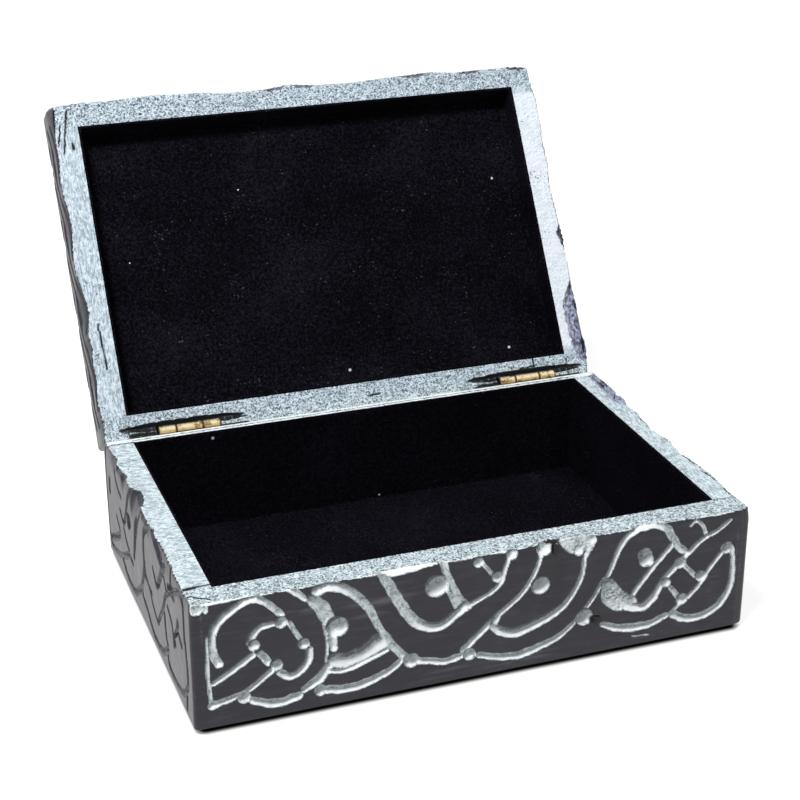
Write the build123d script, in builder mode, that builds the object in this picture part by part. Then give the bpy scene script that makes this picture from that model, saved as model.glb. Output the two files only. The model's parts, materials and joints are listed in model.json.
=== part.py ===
import os
from math import atan2, degrees, radians, sqrt, tan

from build123d import *

os.makedirs("parts", exist_ok=True)

# A soapstone card box: a five-slab base on a felt pad and a slab lid on four rails,
# joined by two small brass hinges whose leaves are cemented into saw kerfs.
# Millimetres. The origin is on the table under the middle of the base, the front faces -Y.
# The lid is drawn in the closed box's coordinates, in a frame that is turned back with it.

# Driving sizes of the box
box_width = 150.0
box_depth = 100.0
base_height = 34.8
lid_height = 14.9
wall = 7.5
back_thickness = 6.0
bottom_thickness = 4.5
slab_thickness = 7.0
slab_bevel = 3.0
corner_break = 0.6

# Felt under the base, and the velvet inside
pad_thickness = 1.2
pad_inset = 1.5
pad_corner = 5.0
lining = 0.8
lining_drop = 0.1

# Lid swing
open_angle = 122.5
stop_clearance = 0.25
rim_gap = 0.2
axis_inset = 1.8

# Hinges
hinge_length = 18.0
left_hinge_gap = 15.6
right_hinge_gap = 12.4
barrel_radius = 1.35
outer_knuckle = 5.1
knuckle_gap = 0.1
knuckle_clearance = 0.15
leaf_thickness = 0.7
leaf_depth = 4.4
leaf_hole_radius = 0.8
leaf_hole_spacing = 9.0
pin_radius = 0.6
pin_clearance = 0.05
pin_break = 0.15

# Saw kerfs for the leaves, and the channel for the barrel
disc_radius = 28.0
corner_clearance = 0.2
cement_film = 0.25
cement_drop = 0.3
channel_clearance = 0.2
channel_end = 0.3

# Carving in the front wall: each stroke is a groove's width and the start, middle and end
# of its arc, across the wall and up from a line a little above the stone's foot
carving_depth = 0.9
carving_foot = 1.6
front_strokes = (
    (1.9, (-68.3, 16), (-67.2, 28), (-58.5, 32.3)),
    (1.7, (-58.5, 32.3), (-52, 26), (-47.5, 18.2)),
    (1.9, (-45.7, 15.5), (-48, 10.2), (-53.3, 10.6)),
    (1.8, (-54.5, 24.6), (-59.2, 23.4), (-60.5, 20.5)),
    (1.7, (-60.2, 16.8), (-64.8, 13.8), (-69.8, 11)),
    (1.6, (-55.5, 11.5), (-62.2, 7.4), (-70.5, 4.8)),
    (2.2, (-60.3, 4.2), (-54.5, 2.3), (-48.8, 3)),
    (3.0, (-46.5, 30), (-43.2, 27.2), (-40.8, 23)),
    (2.6, (-41, 9.6), (-43.6, 6.6), (-47.2, 4.4)),
    (2.4, (-43.5, 31.4), (-33.5, 28), (-27, 16.5)),
    (2.0, (-27, 16.5), (-24.3, 12.3), (-21.3, 8.4)),
    (4.4, (-39.6, 11.2), (-33, 10.8), (-27.3, 14)),
    (2.1, (-41, 3.1), (-31.4, 3), (-22.3, 7.2)),
    (2.4, (-26.3, 31.8), (-21, 21.5), (-13.5, 15.2)),
    (2.3, (-13.5, 15.2), (-9, 16.3), (-5, 19.4)),
    (2.0, (-11, 33.6), (-8.6, 26), (-4.6, 19.4)),
    (1.8, (-17.8, 6.4), (-11.8, 4.9), (-6, 5.4)),
    (1.5, (-5.3, 7), (8, 18), (15.2, 30.5)),
    (1.8, (27.2, 26.5), (21.5, 14), (8, 9.2)),
    (1.8, (33, 20), (22, 6.3), (4, 3)),
    (1.6, (42.6, 33), (36, 26), (33, 19.2)),
    (2.4, (38.6, 11.8), (43.4, 9.9), (47.6, 12)),
    (1.9, (47.6, 12), (50.6, 16.8), (54.4, 21)),
    (1.5, (52.2, 26.6), (46.2, 19.7), (40.6, 12.4)),
    (2.0, (42.6, 33), (50.6, 30.6), (56.6, 23.2)),
    (1.8, (69.8, 22), (67.4, 7.4), (53.6, 5.6)),
    (2.2, (33.3, 6.6), (42.2, 4), (51.4, 5.6)),
)

# Knot in the lid's top: ribbons on the diagonals of a grid, which turn back at its border
knot_columns = 6
knot_rows = 4
knot_pitch = 21.6
knot_ribbon = 8.0
knot_gap = 1.3
knot_groove = 1.6
border_inset = 6.6

# Places worked out from the sizes
inner_width = box_width - 2 * wall
inner_depth = box_depth - 2 * wall
well_depth = box_depth - wall - back_thickness
well_middle = (wall - back_thickness) / 2
base_low = pad_thickness
base_rim = base_low + base_height
split = base_rim + rim_gap / 2
lid_rim = base_rim + rim_gap
lid_top = lid_rim + lid_height
slab_low = lid_top - slab_thickness
floor_top = base_low + bottom_thickness
back_face = box_depth / 2
axis_y = back_face - axis_inset
rail_height = slab_low - lid_rim

# The rear edges of base and lid are bevelled by half the swing, and meet as a stop
stop_slope = tan(radians(open_angle / 2 + stop_clearance))
stop_start = axis_y + rim_gap / 2 / stop_slope
stop_height = axis_inset * stop_slope

# Frames of the base and of the lid: plan, side and front view of each
lid_turn = Location((0, axis_y, split), (-open_angle, 0, 0)) * Location((0, -axis_y, -split))
base_plan = Plane.XY
base_side = Plane.YZ
base_front = Plane.XZ
lid_plan = Plane(lid_turn)
lid_side = Plane(origin=lid_plan.origin, x_dir=lid_plan.y_dir, z_dir=lid_plan.x_dir)
lid_front = Plane(origin=lid_plan.origin, x_dir=lid_plan.x_dir, z_dir=-lid_plan.y_dir)


def block(plan, low, high, centre, size):
    with BuildPart() as piece:
        with BuildSketch(plan.offset(low)):
            with Locations(centre):
                Rectangle(*size)
        extrude(amount=high - low)
    return piece


# Hinge shapes
bore_radius = pin_radius + pin_clearance
clear_radius = barrel_radius + knuckle_clearance
leaf_front = axis_y - barrel_radius
leaf_back = leaf_front + leaf_thickness
leaf_end = leaf_depth + rim_gap / 2
middle_start = outer_knuckle + knuckle_gap
middle_end = hinge_length - middle_start
outer_knuckles = [(0, outer_knuckle), (hinge_length - outer_knuckle, hinge_length)]
middle_knuckle = [(middle_start, middle_end)]
hinge_starts = {
    "left": -box_width / 2 + left_hinge_gap,
    "right": box_width / 2 - right_hinge_gap - hinge_length,
}

# The disc that saws a kerf just clears the lower corners of the leaf
kerf_front = leaf_front - cement_film
kerf_back = leaf_back + cement_film
kerf_reach = hinge_length / 2 + corner_clearance
disc_lift = sqrt(disc_radius**2 - kerf_reach**2) - leaf_depth - corner_clearance


# way is -1 in the base, where a leaf points down from the axis, and 1 in the lid
def hinge_leaf(side, front, way, start, knuckles):
    with BuildPart() as leaf:
        with BuildSketch(front.offset(-leaf_back)):
            with Locations((start + hinge_length / 2, split + way * (clear_radius + leaf_end) / 2)):
                Rectangle(hinge_length, leaf_end - clear_radius)
                with GridLocations(leaf_hole_spacing, 0, 2, 1):
                    Circle(leaf_hole_radius, mode=Mode.SUBTRACT)
        extrude(amount=leaf_thickness)
        for low, high in knuckles:
            with BuildSketch(side.offset(start + low)):
                with Locations((axis_y, split)):
                    Circle(barrel_radius)
                with Locations(((leaf_front + leaf_back) / 2, split + way * clear_radius / 2)):
                    Rectangle(leaf_thickness, clear_radius)
            extrude(amount=high - low)
        with BuildSketch(side.offset(start)):
            with Locations((axis_y, split)):
                Circle(bore_radius)
        extrude(amount=hinge_length, mode=Mode.SUBTRACT)
    return leaf


def hinge_pin(start):
    with BuildPart() as pin:
        with BuildSketch(base_side.offset(start)):
            with Locations((axis_y, split)):
                Circle(pin_radius)
        extrude(amount=hinge_length)
        chamfer(pin.edges().filter_by(GeomType.CIRCLE), pin_break)
    return pin


# What the disc saws out, and the round channel in which the barrel turns
def kerf(front, way, rim, start):
    with BuildPart() as cut:
        with BuildSketch(front.offset(-kerf_back)):
            with Locations((start + hinge_length / 2, rim - way * disc_lift)):
                Circle(disc_radius)
        extrude(amount=kerf_back - kerf_front)
    return cut


def barrel_channel(side, start):
    with BuildPart() as cut:
        with BuildSketch(side.offset(start - channel_end)):
            with Locations((axis_y, split)):
                Circle(barrel_radius + channel_clearance)
        extrude(amount=hinge_length + 2 * channel_end)
    return cut


# Cement fills a kerf round its leaf, through the leaf's two holes
def kerf_cement(side, front, way, rim, start, leaf):
    with BuildPart() as cement:
        with BuildSketch(front.offset(-kerf_back)):
            with Locations((start + hinge_length / 2, rim - way * disc_lift)):
                Circle(disc_radius)
            with Locations((start + hinge_length / 2, rim + way * (cement_drop + disc_radius))):
                Rectangle(2 * disc_radius, 2 * disc_radius, mode=Mode.INTERSECT)
        extrude(amount=kerf_back - kerf_front)
        add(barrel_channel(side, start).part, mode=Mode.SUBTRACT)
        add(leaf.part, mode=Mode.SUBTRACT)
    return cement


# The grooves of the lid's knot: both edges of each ribbon, broken where it passes under another
def knot_grooves():
    edges = []
    half = knot_ribbon / 2
    reach = knot_pitch * sqrt(0.5)
    for column in range(knot_columns + 1):
        for row in range(knot_rows + 1):
            x = (column - knot_columns / 2) * knot_pitch
            y = (row - knot_rows / 2) * knot_pitch
            inward_x = (column == 0) - (column == knot_columns)
            inward_y = (row == 0) - (row == knot_rows)
            if (column + row) % 2 == 0:
                continue
            if inward_x or inward_y:
                middle = degrees(atan2(-inward_y, -inward_x))
                centre = (x + inward_x * knot_pitch, y + inward_y * knot_pitch)
                for radius in (reach - half, reach + half):
                    edges.append(("arc", centre, radius, middle - 45))
                continue
            lean = sqrt(0.5) if column % 2 else -sqrt(0.5)
            over = (sqrt(0.5), lean)
            under = (sqrt(0.5), -lean)
            for side in (-half, half):
                foot = (x + side * under[0], y + side * under[1])
                edges.append(("line", foot, over, (-reach, reach)))
                foot = (x + side * over[0], y + side * over[1])
                for span in ((-reach, -half - knot_gap), (half + knot_gap, reach)):
                    edges.append(("line", foot, under, span))
    return edges


# Base

with BuildPart() as front_wall:
    with BuildSketch(base_plan.offset(base_low)):
        with Locations((0, -(box_depth - wall) / 2)):
            Rectangle(box_width, wall)
    extrude(amount=base_height)
    chamfer(front_wall.edges().filter_by(Axis.Z).group_by(Axis.Y)[0], corner_break)
    carved_face = Plane((0, -back_face, base_low + carving_foot), (1, 0, 0), (0, -1, 0))
    with BuildSketch(carved_face):
        for width, start, middle, end in front_strokes:
            with BuildLine() as stroke:
                ThreePointArc(start, middle, end)
            trace(stroke.line, line_width=width)
    extrude(amount=-carving_depth, mode=Mode.SUBTRACT)
front_wall.part.label = "front_wall"
export_step(front_wall.part, "parts/front_wall.step")

with BuildPart() as back_wall:
    with BuildSketch(base_side.offset(-box_width / 2)):
        with BuildLine():
            Polyline(
                (back_face, base_low),
                (back_face, split - stop_height),
                (stop_start, base_rim),
                (back_face - back_thickness, base_rim),
                (back_face - back_thickness, base_low),
                close=True,
            )
        make_face()
    extrude(amount=box_width)
    chamfer(back_wall.edges().filter_by(Axis.Z).group_by(Axis.Y)[-1], corner_break)
    for start in hinge_starts.values():
        add(kerf(base_front, -1, base_rim, start).part, mode=Mode.SUBTRACT)
        add(barrel_channel(base_side, start).part, mode=Mode.SUBTRACT)
back_wall.part.label = "back_wall"
export_step(back_wall.part, "parts/back_wall.step")

for name, way in (("left_wall", -1), ("right_wall", 1)):
    side_wall = block(
        base_plan,
        base_low,
        base_rim,
        (way * (box_width - wall) / 2, well_middle),
        (wall, well_depth),
    )
    side_wall.part.label = name
    export_step(side_wall.part, f"parts/{name}.step")

bottom_slab = block(
    base_plan, base_low, floor_top, (0, well_middle), (inner_width, well_depth)
)
bottom_slab.part.label = "bottom_slab"
export_step(bottom_slab.part, "parts/bottom_slab.step")

with BuildPart() as foot_pad:
    with BuildSketch(base_plan):
        RectangleRounded(box_width - 2 * pad_inset, box_depth - 2 * pad_inset, pad_corner)
    extrude(amount=pad_thickness)
foot_pad.part.label = "foot_pad"
export_step(foot_pad.part, "parts/foot_pad.step")

floor_lining = block(
    base_plan, floor_top, floor_top + lining, (0, well_middle), (inner_width, well_depth)
)
floor_lining.part.label = "floor_lining"
export_step(floor_lining.part, "parts/floor_lining.step")

# Lid

with BuildPart() as lid_slab:
    with BuildSketch(lid_plan.offset(slab_low)):
        Rectangle(box_width, box_depth)
    extrude(amount=slab_thickness)
    lid_up = Axis(lid_plan.origin, lid_plan.z_dir)
    chamfer(lid_slab.faces().sort_by(lid_up)[-1].edges(), slab_bevel)
    with BuildSketch(lid_plan.offset(lid_top)):
        Rectangle(box_width - 2 * border_inset, box_depth - 2 * border_inset)
        Rectangle(
            box_width - 2 * border_inset - 2 * knot_groove,
            box_depth - 2 * border_inset - 2 * knot_groove,
            mode=Mode.SUBTRACT,
        )
        for kind, place, shape, span in knot_grooves():
            with BuildLine() as groove:
                if kind == "arc":
                    CenterArc(place, shape, span, 90)
                else:
                    ends = [(place[0] + t * shape[0], place[1] + t * shape[1]) for t in span]
                    Line(*ends)
            trace(groove.line, line_width=knot_groove)
    extrude(amount=-carving_depth, mode=Mode.SUBTRACT)
lid_slab.part.label = "lid_slab"
export_step(lid_slab.part, "parts/lid_slab.step")

with BuildPart() as lid_front_rail:
    with BuildSketch(lid_plan.offset(lid_rim)):
        with Locations((0, -(box_depth - wall) / 2)):
            Rectangle(inner_width, wall)
    extrude(amount=rail_height)
lid_front_rail.part.label = "lid_front_rail"
export_step(lid_front_rail.part, "parts/lid_front_rail.step")

# The back rail starts at the inner face, and the side rails at the front of the lid
rail_spans = {
    "lid_back_rail": (-inner_width / 2, inner_width, back_face - wall),
    "lid_left_rail": (-box_width / 2, wall, -back_face),
    "lid_right_rail": (box_width / 2 - wall, wall, -back_face),
}
for name, (left_end, length, front_edge) in rail_spans.items():
    with BuildPart() as rail:
        with BuildSketch(lid_side.offset(left_end)):
            with BuildLine():
                Polyline(
                    (front_edge, lid_rim),
                    (stop_start, lid_rim),
                    (back_face, split + stop_height),
                    (back_face, slab_low),
                    (front_edge, slab_low),
                    close=True,
                )
            make_face()
        extrude(amount=length)
        for start in hinge_starts.values():
            add(kerf(lid_front, 1, lid_rim, start).part, mode=Mode.SUBTRACT)
            add(barrel_channel(lid_side, start).part, mode=Mode.SUBTRACT)
    rail.part.label = name
    export_step(rail.part, f"parts/{name}.step")

lid_panel_lining = block(
    lid_plan, slab_low - lining, slab_low, (0, 0), (inner_width, inner_depth)
)
lid_panel_lining.part.label = "lid_panel_lining"
export_step(lid_panel_lining.part, "parts/lid_panel_lining.step")

# Velvet strips on the walls and rails: the side strips run between the front and back ones
strip_sets = (
    ("", base_plan, floor_top + lining, base_rim - lining_drop, well_depth, well_middle),
    ("lid_", lid_plan, lid_rim + lining_drop, slab_low - lining, inner_depth, 0),
)
for prefix, plan, low, high, depth, middle in strip_sets:
    for name, way in (("front", -1), ("back", 1)):
        strip = block(
            plan,
            low,
            high,
            (0, middle + way * (depth - lining) / 2),
            (inner_width, lining),
        )
        strip.part.label = f"{prefix}{name}_lining"
        export_step(strip.part, f"parts/{prefix}{name}_lining.step")
    for name, way in (("left", -1), ("right", 1)):
        strip = block(
            plan,
            low,
            high,
            (way * (inner_width - lining) / 2, middle),
            (lining, depth - 2 * lining),
        )
        strip.part.label = f"{prefix}{name}_lining"
        export_step(strip.part, f"parts/{prefix}{name}_lining.step")

# Hinges: a base leaf with two knuckles, a lid leaf with one, a pin, and the cement of each leaf
for side_name, start in hinge_starts.items():
    base_leaf = hinge_leaf(base_side, base_front, -1, start, outer_knuckles)
    base_leaf.part.label = f"{side_name}_hinge_base_leaf"
    export_step(base_leaf.part, f"parts/{side_name}_hinge_base_leaf.step")

    lid_leaf = hinge_leaf(lid_side, lid_front, 1, start, middle_knuckle)
    lid_leaf.part.label = f"{side_name}_hinge_lid_leaf"
    export_step(lid_leaf.part, f"parts/{side_name}_hinge_lid_leaf.step")

    pin = hinge_pin(start)
    pin.part.label = f"{side_name}_hinge_pin"
    export_step(pin.part, f"parts/{side_name}_hinge_pin.step")

    base_cement = kerf_cement(base_side, base_front, -1, base_rim, start, base_leaf)
    base_cement.part.label = f"{side_name}_base_cement"
    export_step(base_cement.part, f"parts/{side_name}_base_cement.step")

    lid_cement = kerf_cement(lid_side, lid_front, 1, lid_rim, start, lid_leaf)
    lid_cement.part.label = f"{side_name}_lid_cement"
    export_step(lid_cement.part, f"parts/{side_name}_lid_cement.step")
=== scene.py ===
import json
import math

import bpy
import numpy as np
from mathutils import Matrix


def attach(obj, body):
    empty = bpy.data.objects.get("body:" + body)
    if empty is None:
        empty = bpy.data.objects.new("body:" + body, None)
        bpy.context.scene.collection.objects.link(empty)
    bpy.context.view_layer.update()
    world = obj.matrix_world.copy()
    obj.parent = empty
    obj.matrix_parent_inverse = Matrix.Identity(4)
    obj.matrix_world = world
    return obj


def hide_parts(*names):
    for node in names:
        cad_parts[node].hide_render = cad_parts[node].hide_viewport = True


# A carved soapstone card box, open on its stop, dressed round the frame.
# Shapes are worked out in millimetres, in the closed box's coordinates; the lid is turned back at the end.
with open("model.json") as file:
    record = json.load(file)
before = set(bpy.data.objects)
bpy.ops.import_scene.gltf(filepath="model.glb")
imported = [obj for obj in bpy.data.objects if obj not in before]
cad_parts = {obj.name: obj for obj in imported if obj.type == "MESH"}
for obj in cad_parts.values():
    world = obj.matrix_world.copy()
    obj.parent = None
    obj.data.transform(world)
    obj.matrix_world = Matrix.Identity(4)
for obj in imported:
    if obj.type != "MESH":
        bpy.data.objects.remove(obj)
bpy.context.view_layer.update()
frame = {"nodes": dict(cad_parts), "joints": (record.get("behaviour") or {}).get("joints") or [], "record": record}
bpy.ops.object.select_all(action="DESELECT")
print("frame loaded")

hinge = frame["joints"][0]
swing = math.radians(hinge["range_deg"][1])
pivotY, pivotZ = (1000 * value for value in hinge["pos_m"][1:])
lidNodes = frame["record"]["behaviour"]["bodies"]["lid"]


def turned(points, angle):  # about the hinge's axis
    c, s = math.cos(angle), math.sin(angle)
    y, z = points[:, 1] - pivotY, points[:, 2] - pivotZ
    return np.stack([points[:, 0], pivotY + y * c - z * s, pivotZ + y * s + z * c], 1)


def readAll(items, field, width=3, kind=float):  # one field of all vertices, edges or faces
    values = np.zeros(len(items) * width, kind)
    items.foreach_get(field, values)
    return values.reshape(-1, width)


def readPoints(mesh):
    return readAll(mesh.vertices, "co")


def writePoints(mesh, points):
    mesh.vertices.foreach_set("co", points.ravel())
    mesh.update()


def closedBox(*names):  # lowest and highest corner of these nodes with the box closed
    points = []
    for name in names:
        own = 1000 * readPoints(frame["nodes"][name].data)
        points.append(turned(own, swing) if name in lidNodes else own)
    points = np.vstack(points)
    return np.array([points.min(0), points.max(0)])


sideNames = ("front", "back", "left", "right")
wholeBox = {"base": closedBox(*(side + "_wall" for side in sideNames)),
            "lid": closedBox("lid_slab", *(f"lid_{side}_rail" for side in sideNames))}
rimWay = {"base": 1, "lid": -1}  # the way that each rim faces with the box closed
rimZ = {"base": wholeBox["base"][1, 2], "lid": wholeBox["lid"][0, 2]}


# Carved lines are drawn as on paper, along the side and up from its foot, in millimetres.
# A groove is its width, or its widths from end to end, then the points that it runs through.
frontWork = {
    "pale": 1,
    "grooves": [
        (1, (-71, 33.2), (-71, 31)),
        ((1.2, 0.9), (-71.5, 33.1), (-58.5, 33.3)),
        ((0.7, 1, 1), (-71, 24), (-71.2, 14), (-70.6, 5)),
        ((1.7, 1.3, 2), (-55.5, 11.5), (-62, 7), (-70.5, 4.8)),
        (2, (-68.3, 16), (-69.8, 20), (-69.5, 25), (-67, 28.5), (-62, 31.7), (-58.5, 32.3)),
        ((1.8, 1.6), (-58.5, 32.3), (-55.5, 30), (-52.5, 26.5)),
        (1.2, (-50.5, 24), (-49, 20.8), (-47.5, 18.2)),
        (1.9, (-45.7, 15.5), (-46, 12.5), (-48, 10), (-51, 9), (-53.3, 10.6)),
        ((1.6, 1.9), (-54.5, 24.6), (-57.5, 24.3), (-59.8, 22.3), (-60.5, 20.5)),
        (1.8, (-58, 17), (-56, 14)),
        ((1.8, 1.5), (-60.2, 16.8), (-64.5, 14), (-69.8, 11)),
        ((1.8, 2.3, 2.2), (-60.3, 4.2), (-56, 2.4), (-52.5, 2.2), (-48.8, 3)),
        ((1.2, 1.7, 1.2), (-51, 33.4), (-48.5, 31.7), (-46.3, 29.6)),
        ((2.4, 3.6, 3.2), (-45, 29.3), (-42.5, 26.7), (-40.8, 23)),
        ((1, 0.8, 1), (-42, 22), (-41.2, 17), (-41.6, 10.5)),
        ((2.2, 1.8), (-40, 18), (-39.4, 14.5)),
        ((2.4, 2.8, 1.6), (-41, 9.6), (-43.3, 6.8), (-47.2, 4.4)),
        ((2.8, 2.4, 2, 1.6), (-43.5, 31.4), (-40.5, 32), (-37, 30.8), (-33.5, 28), (-30.4, 24), (-28.4, 19.5),
         (-27, 16.5)),
        ((3.4, 4.4, 4.4, 5), (-39.6, 11.2), (-36, 10.4), (-31.5, 11.4), (-27.3, 14)),
        ((1.2, 1.4, 1.2), (-41.5, 8.4), (-36.5, 7.8), (-31, 9.3), (-25.8, 11.2)),
        ((2.2, 2.2, 1.6), (-41, 3.1), (-36.5, 2.4), (-31, 3), (-25, 5.2), (-22.3, 7.2)),
        ((1.6, 2.2), (-27, 16.3), (-24.3, 12.3), (-21.3, 8.4)),
        (1.8, (-17.8, 6.4), (-14, 5.6), (-10.5, 4.7), (-6, 5.4)),
        ((1.9, 1.5, 1.2), (-5.3, 7), (0.5, 12.3), (4.2, 15.5), (9.5, 19.5), (12.6, 23.5), (14.6, 28), (15.2, 30.5)),
        ((2.4, 2.6, 2.2), (-26.3, 31.8), (-24, 27), (-21, 21.5), (-17.5, 17), (-13.5, 15.2), (-10.5, 15.6),
         (-7.5, 17.7), (-5, 19.4)),
        ((3, 2.6, 1.2), (-26.6, 33), (-20, 33.2), (-13, 33.4)),
        ((2, 1.6, 2.4), (-11, 33.6), (-10.4, 30.6), (-8.6, 26), (-6.4, 21.5), (-4.6, 19.4)),
        ((0.9, 1.1), (-10, 25.5), (-7.5, 19.6)),
        (1.3, (-3.2, 20), (1.5, 22), (4.4, 24.4), (5.2, 27.3), (6.2, 30.4)),
        (1, (-0.3, 30.4), (2.3, 27)),
        ((1.2, 1.4, 2.2, 2.6, 1.8), (27.2, 26.5), (26.6, 22), (24.6, 17.6), (21.5, 14), (17, 11.6), (12, 9.8),
         (8, 9.2), (4, 10.8), (2.6, 12.6), (3.6, 14.6)),
        ((1, 1.2, 2.2, 1.6), (33, 20), (30.6, 15.6), (27.6, 11.6), (24, 7.8), (20.4, 5.3), (16, 3.8), (10, 2.4),
         (4, 3), (-1, 4.6)),
        ((2, 1.6, 1), (42.6, 33), (38.8, 30.8), (36.6, 27.4), (35.4, 24), (34, 20.6), (33, 19.2)),
        ((2.6, 2.4), (38.6, 11.8), (41.5, 10.2), (45, 9.8), (47.6, 12)),
        ((2, 1.7), (47.6, 12), (50.3, 16.6), (52.6, 19), (54.4, 21)),
        (1.5, (52.2, 26.6), (47, 21), (43, 16), (40.6, 12.4)),
        ((2.2, 1.8), (42.6, 33), (46.5, 33.1), (50, 31.6), (52, 28.4), (53.8, 25.6), (56.6, 23.2)),
        ((1, 1.6), (68.6, 30.6), (65, 28.2), (60.6, 26.3), (57, 23.2), (55, 21.4)),
        ((0.8, 1.1), (57, 31), (58.6, 32.2), (60.6, 30.4), (61.6, 28)),
        (1.2, (56.4, 19.2), (59.3, 16)),
        ((1.2, 1.6), (52.3, 13.8), (55.2, 10)),
        (1.3, (57.6, 10), (61, 13.4), (63.6, 17.6), (67.2, 22)),
        ((1.2, 2, 2.2), (69.8, 22), (70.3, 16), (69.8, 10.5), (67.2, 6), (62.6, 3.6), (57.5, 3.6), (53.6, 5.6)),
        (1.1, (55.3, 8.4), (52.6, 6)),
        ((1.6, 2.4, 1.6), (33.3, 6.6), (37, 4.9), (41.5, 4), (46.5, 4), (51.4, 5.6)),
        (0.35, (42, 1.3), (46.6, 0.9)),
    ],
    "pits": [
        (-47, 17.3, 1.6), (-52.6, 24.4, 1.7), (-59.5, 19.4, 1.6), (-54, 12.8, 1.7), (-62.4, 5.4, 1.8),
        (-38.4, 20.2, 3), (-43, 3.2, 1.7), (-19.2, 6.7, 2.2), (-3.6, 5.2, 1.8), (-12.6, 26.6, 3.3),
        (3.5, 26.2, 1.6), (-1.6, 31.2, 1.5), (7.4, 31.8, 1.7), (15.4, 21.4, 2.7), (16.2, 31.8, 2.3),
        (28, 9.7, 2.6), (54.8, 20.6, 1.8), (61, 15.6, 1.6), (51, 15.4, 1.5), (56, 9.6, 1.8), (68.3, 22.6, 1.9),
        (44.4, 24.8, 2.2), (45, 23.2, 2.2), (-5, 19.3, 1.6), (25.8, 29.6, 1.7), (29.2, 31.6, 1.5),
    ],
    "scoops": [  # wide shallow cuts: widths, depth, points
        ((3.4, 6.4, 5.6, 2.6, 1.2), 1.1, (21.8, 32.8), (25, 31.6), (28.2, 30.8), (27.8, 28.4), (27.2, 26.6)),
        ((3.4, 4.6, 1.4), 0.7, (-74.8, 33.6), (-73.6, 32.8), (-72.8, 30.9)),
        ((4.6, 6.6, 6.2, 4), 1.1, (34.4, 17.8), (35.6, 14.6), (38, 12.4), (41, 11.6)),
    ],
    # holes are darkened with painted shade: middle, across, tall
    "holes": [(17.8, 33.2, 1.5, 0.9), (19.3, 31.2, 1.2, 2.3), (31.2, 8.4, 1.6, 1.2)],
    "stains": [(20.2, 24.5, 2, 4.2, 0.55), (33, 7.6, 2.2, 0.8, 0.7)],
    # wax wiped thin: middle, half length, half height, strength
    "smears": [(-27, 25.6, 12, 2, 0.9), (-49, 26.5, 9, 1.5, 0.55), (-30, 22, 8, 1.2, 0.5), (47, 1, 9, 0.9, 0.7),
               (12, 1.4, 22, 1.5, 0.55), (65, 12, 3, 8, 0.35), (-5, 1.8, 18, 1.6, 0.35),
               (71.2, 17, 0.45, 16, 0.8), (72.6, 15, 0.4, 12, 0.5), (-72.2, 26, 0.5, 7, 0.7)],
}

# The left side is seen at a low angle, where its lines stay dark: their paleness is turned down, painted shade
leftWork = {
    "pale": 0.08,
    "steeper": 1.8,
    "grooves": [
        (1, (46.5, 31.5), (47.8, 23), (48, 12), (47, 4.2), (39.5, 6.5), (32.5, 10.5)),
        (1, (35.5, 15.5), (32, 12.5), (35.5, 9.5), (44, 5)),
        (1.4, (46.5, 2.8), (44.5, 1.8), (37.5, 3.2), (28.5, 6.5), (20.5, 11.5), (23, 13.5), (26, 16)),
        (1.6, (43, 23.5), (43.5, 19.5)),
        (1.2, (35, 29.5), (33, 27), (30, 25.5), (27.6, 25)),
        (1.6, (32, 32), (27.5, 32.4), (25.5, 31.5)),
        (1.4, (30, 20), (25, 18.5), (18, 29.5), (15.5, 34)),
        ((1.8, 1.4), (4.5, 31.5), (9, 24), (12, 17.5), (14, 13.5)),
        (1.4, (21, 11), (16, 10.5)),
        (1.6, (3, 32.5), (-4, 32.5)),
        ((1.8, 1.4, 1), (-5.5, 32), (-1, 28), (0.5, 21), (0, 15)),
        ((1.8, 1.4), (-8.5, 33), (-15, 31.6), (-20, 30.5)),
        (1.3, (30, 4.5), (26, 3.5)),
        (1.6, (28, 3.5), (22.5, 2.2), (15, 2.5), (10.5, 5), (5, 9.5), (1, 17), (0.5, 22.5)),
        (1.2, (0, 20), (-1, 16), (-5, 14), (-8, 11), (-13, 8.5), (-15, 10.5), (-20.5, 16.5), (-24, 22),
         (-28.5, 25.5)),
        (1.4, (-28.5, 25.5), (-35.5, 29.5), (-40, 31.2), (-43.2, 30), (-43.6, 26), (-43.5, 20)),
        (1.5, (5, 9.5), (4, 6.8), (-1, 5), (-4.5, 3), (-9, 1.6), (-14.5, 1.8), (-19, 3.2), (-24, 7), (-22.5, 10),
         (-22, 16)),
        ((1.2, 2.2), (-10.5, 23), (-12.5, 21), (-15, 20), (-20, 26), (-23.5, 30)),
        (1.1, (-1, 15), (-7.5, 14)),
        (1.4, (-12.5, 32), (-16, 30.5), (-19.5, 29), (-22, 29.5)),
        (1.2, (-23.5, 27), (-25.5, 24)),
        (1.2, (-29.5, 33), (-31.5, 28.5)),
        (1.2, (-26, 20), (-29.5, 18), (-31, 15), (-31.5, 12)),
        ((2, 1), (-37, 21.5), (-35.5, 18.5), (-32.5, 15.5)),
        ((1, 1.6), (-36.5, 19), (-40, 17)),
        (1.4, (-23, 5), (-24.5, 2.4), (-29.5, 1.6), (-35.5, 2.2), (-41, 4), (-44.6, 8), (-45, 12.5), (-44.2, 20)),
        (1.2, (-43.5, 5), (-42.8, 0.8)),
    ],
    "pits": [(18, 22.5, 2.2), (19, 21, 1.6), (-32.5, 13.5, 1.3), (-28.5, 34, 1.4)],
    "scoops": [
        ((2, 3.4, 2), 1.9, (14.4, 33.4), (9.5, 32.6), (4.5, 32.2)),
        ((2.4, 1.6), 0.8, (9, 27), (13.6, 14)),
        ((2.4, 4), 0.9, (-28, 26.5), (-33, 27.5)),
    ],
}

plait = {"height": 5.9, "swell": 3.2, "loop": 22, "half": 2.2, "gap": 4.6, "eye": 1.2, "widths": (1.2, 1.7, 1.2)}


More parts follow.
